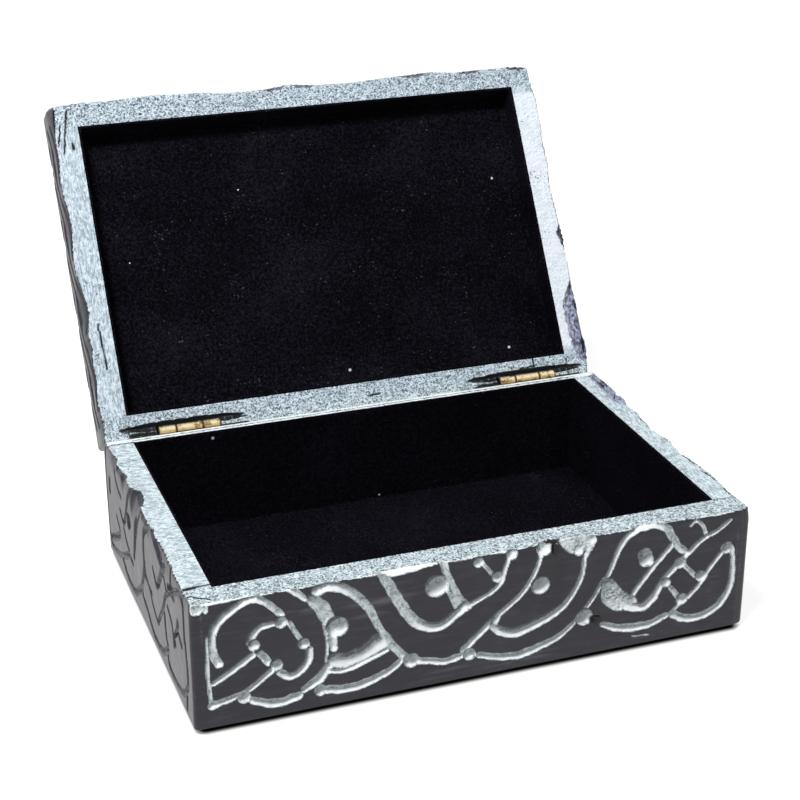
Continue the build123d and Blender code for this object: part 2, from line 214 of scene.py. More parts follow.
def twist(reach, pale, height, swell, loop, half, gap, eye, widths):  # two ribbons laid round each other
    grooves = []
    for strand in (-1, 1):
        for edge in (-half, half):
            for k in range(round(2 * reach / loop)):
                underHere, underNext = (k % 2 == 0) == (strand > 0), (k % 2 == 0) != (strand > 0)
                run = np.linspace(k * loop + gap * underHere, (k + 1) * loop - gap * underNext, 7)
                rise = height + strand * swell * np.sin(math.pi * run / loop) + edge
                grooves.append((widths, *zip(run - reach, rise)))
    eyes = [(place, height, eye) for place in np.arange(loop / 2 - reach, reach, loop)]
    return {"pale": pale, "grooves": grooves, "pits": eyes}


knot = {"columns": 6, "rows": 4, "pitch": 21.6, "half": 4, "gap": 1.3, "line": 1.5, "thin": 1.2, "eye": 2.3,
        "sideEye": (0.36, 1.38), "border": (67.6, 42.6), "borderLine": 1.6, "cornerEye": (61.8, 36.8, 1.8)}


# Ribbons on the diagonals, turning back at the border, and a plain line round them
def knotPanel(columns, rows, pitch, half, gap, line, thin, eye, sideEye, border, borderLine, cornerEye):
    grooves, eyes = [], []
    reach = pitch * math.sqrt(0.5)
    for i in range(columns + 1):
        for j in range(rows + 1):
            centre = np.array([(i - columns / 2) * pitch, (j - rows / 2) * pitch])
            inward = np.array([(i == 0) - (i == columns), (j == 0) - (j == rows)])
            if (i + j) % 2 == 0:
                if not inward.any():
                    eyes.append((*centre, eye))
                elif not inward.all():
                    eyes.append((*(centre + sideEye[0] * pitch * inward), sideEye[1]))
            elif inward.any():
                middle = math.atan2(-inward[1], -inward[0])
                for radius in (reach - half, reach + half):
                    sweep = middle + np.linspace(-math.pi / 4, math.pi / 4, 7)
                    arc = centre + inward * pitch + radius * np.stack([np.cos(sweep), np.sin(sweep)], 1)
                    grooves.append((line, *arc))
            else:
                over = np.array([1, 1 if i % 2 else -1]) * math.sqrt(0.5)
                under = over * (1, -1)
                for side in (-half, half):
                    edge, beside = centre + side * under, centre + side * over
                    grooves.append((line, edge - reach * over, edge + reach * over))
                    for away in (under, -under):
                        grooves.append(((thin, line), beside + (half + gap) * away, beside + reach * away))
    (edgeX, edgeY), (eyeX, eyeY, radius) = border, cornerEye
    for way in (-1, 1):
        grooves.append((borderLine, (-edgeX, way * edgeY), (edgeX, way * edgeY)))
        grooves.append((borderLine, (way * edgeX, -edgeY), (way * edgeX, edgeY)))
        eyes += [(way * eyeX, eyeY, radius), (way * eyeX, -eyeY, radius)]
    return {"pale": 1, "grooves": grooves, "pits": eyes}


def smoothLine(points, step=0.5):
    p = np.array(points, float)
    if len(p) == 2:
        return np.linspace(p[0], p[1], max(2, int(np.linalg.norm(p[1] - p[0]) / 2)))
    ends = np.vstack([2 * p[0] - p[1], p, 2 * p[-1] - p[-2]])
    runs = []
    for a, b, c, d in zip(ends, ends[1:], ends[2:], ends[3:]):
        t = np.linspace(0, 1, max(2, int(np.linalg.norm(c - b) / step)), endpoint=False)[:, None]
        bend, twisted = 2 * a - 5 * b + 4 * c - d, 3 * b - 3 * c + d - a
        runs.append(0.5 * (2 * b + (c - a) * t + bend * t**2 + twisted * t**3))
    return np.vstack([*runs, p[-1:]])


def besideLine(spots, line, widths):  # distance from the line, in half widths
    track = smoothLine(line)
    half = np.interp(np.linspace(0, 1, len(track)), np.linspace(0, 1, len(widths)), widths) / 2
    beside = np.full(len(spots), 9.0)
    for a, b, startHalf, endHalf in zip(track, track[1:], half, half[1:]):
        along = b - a
        t = np.clip((spots - a) @ along / max(along @ along, 1e-9), 0, 1)
        away = np.hypot(*(spots - a - t[:, None] * along).T)
        beside = np.minimum(beside, away / (startHalf + (endHalf - startHalf) * t))
    return beside


def windowOf(spots, line, margin):
    line = np.array(line, float)
    low, high = line.min(0) - margin, line.max(0) + margin
    return np.where(((spots > low) & (spots < high)).all(1))[0]


def besideSpot(spots, x, z, across, tall, margin=1.2):  # what is near a round mark, and how far from its middle
    near = windowOf(spots, [(x, z)], margin * max(across, tall))
    return near, np.hypot(*((spots[near] - (x, z)) / (across, tall)).T)


def smooth(value, low, high):
    t = np.clip((value - low) / (high - low), 0, 1)
    return t * t * (3 - 2 * t)


def unevenness(points, size, seed):  # smooth waves of about this size, around zero
    draw = np.random.default_rng(seed)
    ways = draw.normal(size=(14, points.shape[1]))
    ways *= (2 * math.pi / size * draw.uniform(0.6, 1.7, 14) / np.linalg.norm(ways, axis=1))[:, None]
    return np.sin(points @ ways.T + draw.uniform(0, 2 * math.pi, 14)).sum(1) / math.sqrt(14)


def wander(points, size, seed):  # the same waves for two directions
    return np.stack([unevenness(points, size, seed), unevenness(points, size, seed + 1)], 1)


def keepMost(values, near, new):
    values[near] = np.maximum(values[near], new)


chisel = {"wider": 1.25, "steepness": 0.42, "deepest": 1.3, "blunt": 0.2, "unsteady": 0.07, "lumpy": 0.1,
          "pitDepth": 0.8, "deepestPit": 1.9, "holeDepth": 1.5, "scoopPale": 0.8}


def carve(spots, work):  # depth, paleness, darkness and haze of the carving at these spots of a side
    depth, pale, dark, haze = np.zeros((4, len(spots)))
    steepness = chisel["steepness"] * work.get("steeper", 1)
    for widths, *line in work["grooves"]:
        widths = chisel["wider"] * np.atleast_1d(widths)
        near = windowOf(spots, line, max(widths))
        beside = besideLine(spots[near], line, widths) * (1 + chisel["unsteady"] * unevenness(spots[near], 4, 17))
        deep = min(steepness * max(widths), chisel["deepest"])
        keepMost(depth, near, deep * np.clip(1.04 - np.hypot(beside, chisel["blunt"]), 0, 1))
        keepMost(pale, near, work["pale"] * smooth(beside, 1.04, 0.7))
    for widths, deep, *line in work.get("scoops", ()):
        near = windowOf(spots, line, max(widths))
        beside = besideLine(spots[near], line, widths)
        lumps = 1 + chisel["lumpy"] * unevenness(spots[near], 1.4, 23)
        keepMost(depth, near, deep * lumps * np.sqrt(np.clip(1 - beside**2, 0, 1)))
        keepMost(pale, near, chisel["scoopPale"] * work["pale"] * smooth(beside, 1.02, 0.8))
    for x, z, radius in work["pits"]:
        near, beside = besideSpot(spots, x, z, radius, radius)
        deep = min(chisel["pitDepth"] * radius, chisel["deepestPit"])
        keepMost(depth, near, deep * np.sqrt(np.clip(1 - beside**2, 0, 1)))
        keepMost(pale, near, work["pale"] * smooth(beside, 1.04, 0.8))
    # holes: shallow marks darkened with painted shade
    for mark in work.get("holes", ()):
        near, beside = besideSpot(spots, *mark)
        keepMost(depth, near, chisel["holeDepth"] * np.clip(1.2 - beside, 0, 1))
        keepMost(dark, near, smooth(beside, 1.15, 0.8))
    for *mark, strength in work.get("stains", ()):
        near, beside = besideSpot(spots, *mark, 1)
        beside *= 1 + 0.1 * unevenness(spots[near], 1.5, 24)
        keepMost(dark, near, strength * smooth(beside, 1, 0.6))
    for *mark, strength in work.get("smears", ()):
        near, beside = besideSpot(spots, *mark, 1)
        keepMost(haze, near, strength * smooth(beside, 1, 0.3))
    return depth, pale, dark, haze


# How far the rims' outer edges are bitten away: place along the side, depth
bites = {
    ("base", "left"): [(-50, 0.3), (-46, 0.4), (-40, 0.4), (-31, 0.6), (-22, 1), (-16, 0.9), (-12, 0.3),
        (-7, 0.7), (-3, 0.1), (1, 0.1), (5, 1), (9, 2.2), (14, 2.2), (16, 0.6), (21, 0.5), (24, 1.4), (27, 0.4),
        (32, 0.1), (35, 1.2), (40, 0.4), (50, 0.2)],
    ("base", "right"): [(-50, 0.6), (-40, 1.4), (-28, 0.5), (-14, 1.9), (-6, 1), (3, 2.4), (14, 1), (20, 1.8),
        (24, 0.4), (36, 0.2), (50, 0.3)],
    ("base", "front"): [(-75, 0.2), (-50, 0.1), (-30, 0.3), (-8, 0.2), (12, 0.5), (20, 1), (27, 1.2), (33, 0.2),
        (44, 0.4), (60, 0.1), (75, 0.2)],
    ("base", "back"): [(-75, 0.2), (0, 0.3), (75, 0.2)],
    ("lid", "front"): [(-75, 1.2), (-66, 0.6), (-55, 0.4), (-48, 0), (-30, 0.5), (-23, 1.6), (-11, 1.5),
        (-3, 0.5), (4, 1.4), (16, 1.8), (29, 1), (42, 0.6), (50, 1.5), (57, 1.2), (68, 1.2), (75, 1.9)],
    ("lid", "left"): [(-50, 1.5), (-45.4, 0.9), (-36, 0.5), (-31, 0.3), (-27, 0), (-22.5, 0.2), (-18.8, 0.8),
        (-14, 1), (-8.7, 0.4), (-4, 0), (0.5, 0.1), (4, 0.9), (8.7, 1.6), (12.4, 1.9), (16, 1.1), (18.8, 0.6),
        (21.6, 1.3), (26, 0.6), (30.7, 0.8), (35.3, 0), (40, 0.4), (44.5, 0.8), (50, 0.3)],
    ("lid", "right"): [(-50, 1.2), (-43, 1.1), (-38, 0.2), (-31, 0), (-25, 0.7), (-16, 0.5), (-10, 1.3),
        (-1, 0.9), (9, 0.2), (23, 0.8), (33, 0), (42, 0.1), (50, 1.3)],
    ("lid", "back"): [(-75, 0.2), (0, 0.3), (75, 0.2)],
}


# How tall the bites are, their slope and ragged edge, and how uneven the flakes are
wear = {"tall": (3.0, 2.5), "slope": 1.6, "ragged": 0.16, "raggedSize": 2.2, "flakeEdge": 0.07, "flakeLumps": 0.12}


def bitten(along, rises, body, side):  # rises is the distance from the rim
    places, depths = np.array(bites[body, side]).T
    fine = np.linspace(places[0], places[-1], 200)
    soft = np.convolve(np.pad(np.interp(fine, places, depths), 1, "edge"), np.ones(3) / 3, "valid")
    bite = np.interp(along, fine, soft)
    tall = wear["tall"][0] + wear["tall"][1] * bite
    ragged = wear["ragged"] * unevenness(along[:, None], wear["raggedSize"], len(body) + len(side))
    return (bite + ragged * smooth(rises, 1.6, 0)).clip(0) * np.clip(1 - rises / tall, 0, 1) ** wear["slope"]


# Flakes broken off the rims' outer edges, seen as dark slopes: inner edge as place and inset, depth at the outside
flakes = {
    ("base", "right"): [
        ([(20, 0), (21.5, 3.2), (26, 4.3), (32, 3.9), (38, 3.4), (43.6, 3), (45.2, 0)], 2.2, 1),
        ([(-0.5, 0), (2, 0.9), (6, 1.2), (8.6, 0.6), (9, 2.6), (9.8, 0)], 1.4, 1),
        ([(-25, 0), (-24, 1.1), (-22, 0.6), (-21, 0)], 0.9, 0.5),
        ([(-37, 0), (-35, 0.5), (-32, 0)], 0.7, 0.5),
    ],
    ("lid", "right"): [
        ([(19.6, 0), (26, 4.6), (29, 5.1), (36, 4.8), (40, 4.5), (44, 3.4), (46.2, 0)], 2, 1),
        ([(1.6, 0), (4.8, 2.2), (8, 1.4), (11.6, 0)], 1.2, 0.4),
        ([(-24, 0), (-22, 0.7), (-18, 0)], 0.8, 0.4),
    ],
    ("lid", "front"): [([(-11.4, 0), (-9.5, 1.5), (-6, 1.7), (-4.2, 0)], 1.1, 0.3),
                       ([(-3, 0), (-0.5, 1.4), (3.6, 1.4), (5.4, 0)], 1.1, 0.3),
                       ([(31, 0), (34, 1.4), (38, 1.7), (43, 0)], 1.1, 0.3),
                       ([(50, 0), (52.6, 1.5), (56.6, 1.5), (60, 0)], 1.1, 0.3),
                       ([(65.6, 0), (68, 1.5), (72.6, 1.7), (74.6, 0)], 1.3, 0.2),
                       ([(-73.5, 0), (-70, 0.9), (-66, 0.7), (-62, 0)], 1, 0)],
    ("lid", "left"): [([(-49, 0), (-47.5, 0.9), (-43, 0.7), (-40, 0)], 1.4, 0)],
    ("base", "front"): [([(16.6, 0), (18.2, 1.5), (20.5, 0.9), (22, 0)], 1.6, 0)],
}


def flaked(along, inset, body, side):  # how far down the rim has gone at this distance in from the side
    drop, blue = np.zeros((2, len(along)))
    for edge, deep, blueness in flakes.get((body, side), ()):
        width = np.interp(along, *np.array(edge).T, 0, 0)
        width *= 1 + wear["flakeEdge"] * unevenness(along[:, None], 3.2, 21)
        share = np.clip(1 - inset / np.maximum(width, 1e-3), 0, 1) * np.clip(width / 2, 0, 1)
        lumps = 1 + wear["flakeLumps"] * unevenness(np.stack([along, inset], 1), 2, 22)
        drop = np.maximum(drop, deep * share * lumps)
        blue = np.maximum(blue, blueness * smooth(share, 0, 0.08))
    return drop, blue


# Dark joints between the stones at the rims and small cracks, and a painted shadow line along the base's back rim under
# the hinges: from, to, half width
seams = {
    "base": [
        ((-75, -41.4), (-67.5, -41.1), 0.34), ((-74.8, -41.9), (-71.6, -41.4), 0.6), ((-75, 44), (-67.5, 44), 0.26),
        ((-73.5, -45.4), (-69.5, -48.2), 0.32), ((-74.9, -45.6), (-73.5, -45.4), 0.3), ((73.7, 10.6), (74.4, 6.6), 0.3),
        ((67.5, -42.5), (71, -42.7), 0.2), ((74.1, -15.6), (73.9, -21.6), 0.3), ((73.3, -26.3), (74.3, -32.6), 0.26),
        ((74.1, -37.6), (74.3, -42.6), 0.24), ((-67.4, 45), (67.4, 44.9), 0.22),
    # the last of these is the painted shadow line under the hinges
    ],
    "lid": [
        ((56.8, 42.5), (57, 46.4), 0.34), ((-67.5, 45.6), (-67.5, 49.3), 0.26), ((67.5, 44), (67.5, 49.3), 0.24),
        ((-69.9, -48), (-72.6, -34.8), 0.3), ((-72.8, -43), (-74.2, -37), 0.26), ((-69.7, -37.6), (-69.6, -36), 0.4),
        ((-71.1, 15.5), (-70.6, 28.5), 0.28), ((-66.4, 48.7), (-60.3, 48.7), 0.85), ((-69.6, 46.4), (-67.5, 47), 0.5),
        ((38.4, 48.9), (44.2, 48.9), 0.7), ((52, 45.2), (56.6, 44.9), 0.3), ((4.4, 46.6), (7.2, 46.4), 0.3),
    ],
}


def seamShare(body, points):  # how dark the seams make these points of the rim
    spots = points[:, :2] + 0.1 * wander(points, 2.5, 31)
    share = np.zeros(len(points))
    for start, end, half in seams[body]:
        share = np.maximum(share, smooth(besideLine(spots, [start, end], [2 * half]), 1.35, 0.75))
    return share


lidTop = knotPanel(**knot)
lidLong, lidShort = twist(reach=66, pale=0.75, **plait), twist(reach=44, pale=0.12, **plait)
# Each side: the axis that it faces along and which way, how far its rim's edge is worn, and its carvings
sides = {
    "front": {"axis": 1, "way": -1, "worn": 1, "base": frontWork, "lid": lidLong},
    "back": {"axis": 1, "way": 1, "worn": 1, "base": frontWork, "lid": lidLong},
    "left": {"axis": 0, "way": -1, "worn": 0.25, "base": leftWork, "lid": lidShort},
    "right": {"axis": 0, "way": 1, "worn": 0.4, "base": leftWork, "lid": lidShort},
}


def selectOnly(piece):
    bpy.ops.object.select_all(action="DESELECT")
    piece.select_set(True)
    bpy.context.view_layer.objects.active = piece


def editChosen(piece, kind, chosen, operator, **settings):  # one edit operator on these edges or polygons
    bpy.context.tool_settings.mesh_select_mode = (False, kind == "edges", kind == "polygons")
    for each in ("vertices", "edges", "polygons"):
        items = getattr(piece.data, each)
        items.foreach_set("select", chosen if each == kind else np.zeros(len(items), bool))
    bpy.ops.object.mode_set(mode="EDIT")
    operator(**settings)
    bpy.ops.object.mode_set(mode="OBJECT")


def editFacing(piece, axis, way, operator, **settings):  # the same on the polygons that face this way
    facing = readAll(piece.data.polygons, "normal")[:, axis] * way > 0.9
    editChosen(piece, "polygons", facing, operator, **settings)


def cutAlong(piece, axis, cells):  # subdivides every edge that runs along this axis
    rough = math.ceil(cells / 90)  # the operator makes at most 100 cuts
    for parts in (rough, round(cells / rough)):
        if parts > 1:
            ends = readPoints(piece.data)[readAll(piece.data.edges, "vertices", 2, int)]
            runs = np.abs(ends[:, 0] - ends[:, 1])[:, axis] > 1e-3
            editChosen(piece, "edges", runs, bpy.ops.mesh.subdivide, number_cuts=parts - 1)


def applyPlace():  # puts the new primitive's place in its mesh
    bpy.ops.object.transform_apply(location=True, rotation=True, scale=True)
    return bpy.context.active_object


def plainBlock(name, low, high, cells):  # a block with this many cells along each axis
    bpy.ops.object.select_all(action="DESELECT")
    bpy.ops.mesh.primitive_cube_add(size=1, location=(low + high) / 2, scale=high - low)
    piece = applyPlace()
    piece.name = name
    for axis, count in cells.items():
        cutAlong(piece, axis, count)
    return piece


def evenCells(low, high, cell):
    return {axis: max(2, round((high - low)[axis] / cell)) for axis in (0, 2, 1)}


def applyModifier(piece, kind, **settings):
    selectOnly(piece)
    made = piece.modifiers.new("made", kind)
    for key, value in settings.items():
        setattr(made, key, value)
    bpy.ops.object.modifier_apply(modifier="made")


def keepAttribute(mesh, name, values, domain="POINT"):
    vector = values.ndim > 1
    layer = mesh.attributes.new(name, "FLOAT_VECTOR" if vector else "FLOAT", domain)
    layer.data.foreach_set("vector" if vector else "value", values.astype(np.float32).ravel())


def roundedEdge(a, b, radius):  # how far points at these depths from two sides move off each of them
    awayA, awayB = radius - a, radius - b
    reach = np.hypot(awayA, awayB)
    share = np.where((awayA > 0) & (awayB > 0), np.clip(1 - radius / np.maximum(reach, 1e-6), 0, 1), 0)
    return awayA * share, awayB * share


stone = {"reach": 3.6, "deepest": 2.9, "corner": 1.3, "rimEdge": 0.5, "footEdge": 0.7, "bevel": 3.0,
         "leanFrom": 71.6, "lean": 0.22, "repeat": 0.5, "grit": 0.07, "wave": 0.1, "wornRim": (0.38, 0.1, 0.22),
         "drawnFrom": {"base": 1.6, "lid": 0}, "speckledFrom": (39, 46), "brushed": (0.14, 0.45)}
# flank: painted light and shade on the carved flanks, with the light taken to come from the upper left
flank = {"rubbedAndLit": (-0.5, 0.0, 0.86), "turned": (0.05, 0.38), "fades": (5, 13), "shadeStrength": 0.7, "brighter": 0.4,
         "belowRim": 0.4}
arcs = {"piece": "lid_right_rail", "middle": 71, "slope": 0.8, "bend": 0.12}  # this rail was rubbed in small arcs


def shapeStone(piece, body, strokeAxis, speckle):
    low = wholeBox[body][0]
    points = readPoints(piece.data)
    shift = np.zeros(points.shape)
    pale, dark, haze, sawn, facet = np.zeros((5, len(points)))
    faces = {name: (side["axis"], side["way"]) for name, side in sides.items()}
    faces["rim"], faces["far"] = (2, rimWay[body]), (2, -rimWay[body])
    depthOf = {name: (wholeBox[body][int(way > 0), axis] - points[:, axis]) * way
               for name, (axis, way) in faces.items()}

    def push(name, amount, which=slice(None)):  # inwards from this face
        axis, way = faces[name]
        shift[which, axis] -= way * amount

    # The front's right end leans back a little, the lid's top is bevelled, and edges are rounded
    rimEdge = stone["rimEdge"] * (1 + 0.35 * unevenness(points, 9, 3))
    edges = [(a, b, stone["corner"]) for a in ("front", "back") for b in ("left", "right")]
    edges += [(name, "rim", rimEdge) for name in sides]
    if body == "base":
        lean = np.clip(points[:, 0] - stone["leanFrom"], 0, None) * stone["lean"]
        push("front", lean * smooth(depthOf["front"], 4, 0))
        edges += [(name, "far", stone["footEdge"]) for name in sides]
    else:
        for name in sides:
            over = np.clip(stone["bevel"] - depthOf[name] - depthOf["far"], 0, None) / 2
            push(name, over)
            push("far", over)
    for first, second, radius in edges:
        moves = roundedEdge(depthOf[first], depthOf[second], radius)
        push(first, moves[0])
        push(second, moves[1])

    # Carving and bites on the four sides, fading inwards; two sides repeat the others' drawings, a little displaced
    for name, side in sides.items():
        near = np.where(depthOf[name] < stone["reach"])[0]
        place, rises = points[near, 1 - side["axis"]], depthOf["rim"][near]
        spots = np.stack([-side["way"] * place, points[near, 2] - low[2] - stone["drawnFrom"][body]], 1)
        if side["way"] > 0:
            spots = spots + stone["repeat"] * wander(spots, 30, 5)
        cut, paleness, darkness, wiped = carve(spots, side[body])
        bite = bitten(place, rises, body, name)
        fade = 1 - depthOf[name][near] / stone["reach"]
        push(name, fade * np.minimum(np.hypot(cut, bite), stone["deepest"]), near)
        skin = smooth(depthOf[name][near], 0.7, 0)
        wide, fine, slow = stone["wornRim"]
        wornRim = wide + fine * unevenness(spots, 4, 18) + slow * unevenness(spots, 16, 19)
        paleness = np.maximum(paleness, side["worn"] * smooth(rises / np.maximum(wornRim, 0.05), 1.3, 0.6))
        for values, new in ((pale, paleness), (dark, darkness), (haze, wiped)):
            keepMost(values, near, new * skin)
    if body == "lid":
        near = np.where(depthOf["far"] < 1e-3)[0]
        cut, paleness = carve(points[near, :2], lidTop)[:2]
        push("far", cut, near)
        keepMost(pale, near, paleness)

    # Grit, flakes and seams on the sawn rim, and slow waves on the waxed sides, always inwards
    rim = np.where(depthOf["rim"] < 1e-3)[0]
    sawn[rim] = 1
    push("rim", stone["grit"] * (1 + 0.6 * unevenness(points[rim], 1.1, 8)), rim)
    keepMost(dark, rim, seamShare(body, points[rim]))
    swell = 0.5 * stone["wave"] * (1 + 0.5 * unevenness(points, 22, 9)).clip(0)
    for name, side in sides.items():
        drop, blue = flaked(points[rim, 1 - side["axis"]], depthOf[name][rim], body, name)
        push("rim", drop, rim)
        sawn[rim] *= 1 - smooth(drop, 0.03, 0.16)
        keepMost(facet, rim, blue)
        push(name, smooth(depthOf[name], 0.5, 0) * swell)
    shaped = points + shift
    if body == "base":
        shaped[:, 2] = np.maximum(shaped[:, 2], low[2])
    writePoints(piece.data, shaped)

    # Painted shade on the flanks that face down and to the right, away from the light at the upper left; on the base
    # less of it near the foot, and a painted highlight on the flanks that face the upper left
    rubbedAndLit = readAll(piece.data.vertex_normals, "vector") @ np.array(flank["rubbedAndLit"])
    paintedShade = flank["shadeStrength"] * smooth(-rubbedAndLit, *flank["turned"]) * (depthOf["rim"] > flank["belowRim"])
    if body == "base":
        paintedShade *= smooth(points[:, 2] - low[2], *flank["fades"])
        pale *= 1 + flank["brighter"] * smooth(rubbedAndLit, *flank["turned"])
    pale *= 1 - paintedShade
    speckled = smooth(np.abs(points[:, 1]), *stone["speckledFrom"]) * (body == "lid")  # the front and back rails
    brush = points.copy()  # a finer pattern along the strokes
    brush[:, strokeAxis] *= stone["brushed"][0] + stone["brushed"][1] * speckle
    if piece.name.endswith(arcs["piece"]):
        across = points[:, 0] - arcs["middle"]
        brush[:, 1] += arcs["slope"] * across - arcs["bend"] * across**2
    looks = {"cut": pale, "dark": dark, "haze": haze, "sawn": sawn, "facet": facet, "brush": brush,
             "speckle": speckle + (1 - speckle) * speckled}
    for name, values in looks.items():
        keepAttribute(piece.data, name, values)


stop = {"clearance": 0.25, "shift": {"base": -1.1, "lid": 1.05}, "wornFrom": 46.0, "wornSlope": 0.44}


def addStopBevel(piece, body):  # the rear edge slopes at half the swing, so that the lid leans on the base
    points = readPoints(piece.data)
    slope = math.tan(swing / 2 + math.radians(stop["clearance"]))
    rim = rimZ[body]
    start = pivotY + abs(rim - pivotZ) / slope + stop["shift"][body]
    normal = np.array([slope, rimWay[body]]) / math.hypot(slope, 1)
    over = np.clip((points[:, 1:] - (start, rim)) @ normal, 0, None)
    points[:, 1:] -= over[:, None] * normal
    if body == "base":  # the base's rim is worn down towards the back
        worn = rim - stop["wornSlope"] * np.clip(points[:, 1] - stop["wornFrom"], 0, None)
        points[:, 2] = np.minimum(points[:, 2], worn)
    writePoints(piece.data, points)


kerf = {"channelClearance": 0.2, "channelEnd": 0.3, "discSides": 160, "barrelSides": 48, "edge": 3.0,
        "slot": {"left": (-52.1, 18.2), "right": (53.6, 18.6)}, "slotPlace": 46.55, "slotHalf": 1.2, "slotDeep": 1.7}


def hingeBoxes(side, body):  # of the cement in this kerf and of the hinge's base leaf
    return closedBox(f"{side}_{body}_cement"), closedBox(f"{side}_hinge_base_leaf")


def cutterFor(side, body):  # the saw disc, the round channel of one hinge, and the lid's pointed slot
    cement, leaf = hingeBoxes(side, body)
    wide, thick, deep = cement[1] - cement[0]
    radius = (wide**2 / 4 + deep**2) / (2 * deep)
    middle = cement.mean(0)
    middle[2] = cement[0 if body == "base" else 1, 2] + rimWay[body] * radius
    bpy.ops.mesh.primitive_cylinder_add(
        vertices=kerf["discSides"], radius=radius - kerf["edge"], depth=thick, location=middle,
        rotation=(math.pi / 2, 0, 0))
    disc = applyPlace()
    cutAlong(disc, 1, 2)
    points = readPoints(disc.data)
    ring = np.abs(points[:, 1] - middle[1]) < 0.01
    points[ring] = middle + (points[ring] - middle) * radius / (radius - kerf["edge"])
    writePoints(disc.data, points)
    bpy.ops.mesh.primitive_cylinder_add(
        vertices=kerf["barrelSides"], radius=leaf[1, 1] - pivotY + kerf["channelClearance"],
        depth=leaf[1, 0] - leaf[0, 0] + 2 * kerf["channelEnd"],
        location=((leaf[0, 0] + leaf[1, 0]) / 2, pivotY, pivotZ), rotation=(0, math.pi / 2, 0))
    cutters = [disc, bpy.context.active_object]
    if body == "lid":
        place, half = kerf["slot"][side]
        bpy.ops.mesh.primitive_uv_sphere_add(
            segments=96, ring_count=32, radius=1, location=(place, kerf["slotPlace"], rimZ[body]),
            scale=(half, kerf["slotHalf"], kerf["slotDeep"]))
        slot = applyPlace()
        points = readPoints(slot.data)
        points[:, 1] += 0.1 * unevenness(points, 2.4, 41)
        writePoints(slot.data, points)
        cutters.append(slot)
    return cutters


def within(values, ends, margin=0.0):
    return (values > ends[0] - margin) & (values < ends[1] + margin)


rawParts = {"wall": 0.02, "kerfEnd": 1.4, "kerfDepths": (0.2, 7), "channelEnd": 0.4, "slotEdge": 0.3,
            "slotDepths": (0.22, 2)}


def markKerfs(piece, body):  # faces inside the kerfs, channels and slots are raw stone, darkened with painted shade
    x, y, z = readAll(piece.data.polygons, "center").T
    below = np.abs(z - rimZ[body])
    raw = np.zeros(len(x), bool)
    for side in ("left", "right"):
        cement, leaf = hingeBoxes(side, body)
        inKerf = within(y, cement[:, 1], rawParts["wall"]) & within(x, cement[:, 0], rawParts["kerfEnd"])
        inChannel = np.hypot(y - pivotY, z - pivotZ) < leaf[1, 1] - pivotY + kerf["channelClearance"] + rawParts["wall"]
        raw |= inKerf & within(below, rawParts["kerfDepths"])
        raw |= inChannel & within(x, leaf[:, 0], rawParts["channelEnd"])
        if body == "lid":
            place, half = kerf["slot"][side]
            along = (x - place) / (half + rawParts["slotEdge"])
            across = (y - kerf["slotPlace"]) / (kerf["slotHalf"] + rawParts["slotEdge"])
            raw |= (along**2 + across**2 < 1) & within(below, rawParts["slotDepths"])
    keepAttribute(piece.data, "raw", raw, "FACE")


def sawKerfs(piece, body):
    before = len(piece.data.vertices)
    for side in ("left", "right"):
        for cutter in cutterFor(side, body):
            applyModifier(piece, "BOOLEAN", operation="DIFFERENCE", solver="MANIFOLD", object=cutter)
            bpy.data.objects.remove(cutter, do_unlink=True)
    print(piece.name, "sawn", before, len(piece.data.vertices))
    markKerfs(piece, body)


def finishPiece(piece, body, material, replaced):
    points = readPoints(piece.data)
    if body == "lid":
        points = turned(points, -swing)
    writePoints(piece.data, points / 1000)
    piece.data.materials.clear()
    piece.data.materials.append(material)
    selectOnly(piece)
    bpy.ops.object.shade_smooth_by_angle(angle=math.radians(50))
    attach(piece, body)
    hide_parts(*replaced)
    print(piece.name, len(piece.data.polygons), "faces")


# Finishes
def sumOf(operation, swapped=False):
    def worked(wire, other):
        return wire.nodes.maths(operation, *((other, wire) if swapped else (wire, other)))
    return worked


class Wire:  # an output that does its sums with Math nodes
    def __init__(self, nodes, socket):
        self.nodes = nodes
        self.socket = socket

    __add__, __radd__ = sumOf("ADD"), sumOf("ADD", True)
    __sub__, __rsub__ = sumOf("SUBTRACT"), sumOf("SUBTRACT", True)
    __mul__, __rmul__ = sumOf("MULTIPLY"), sumOf("MULTIPLY", True)
    __pow__ = sumOf("POWER")


class Nodes:
    def __init__(self, tree):
        self.tree = tree

    def node(self, kind, settings, sockets, out=0):
        made = self.tree.nodes.new(kind)
        for key, value in settings.items():
            setattr(made, key, value)
        for key, value in sockets.items():
            if isinstance(value, Wire):
                self.tree.links.new(value.socket, made.inputs[key])
            else:
                made.inputs[key].default_value = value
        return Wire(self, made.outputs[out])

    def maths(self, operation, *terms):
        return self.node("ShaderNodeMath", {"operation": operation}, dict(enumerate(terms)))

    def ray(self, kind):  # 1 for the rays of this kind
        return self.node("ShaderNodeLightPath", {}, {}, f"Is {kind} Ray")


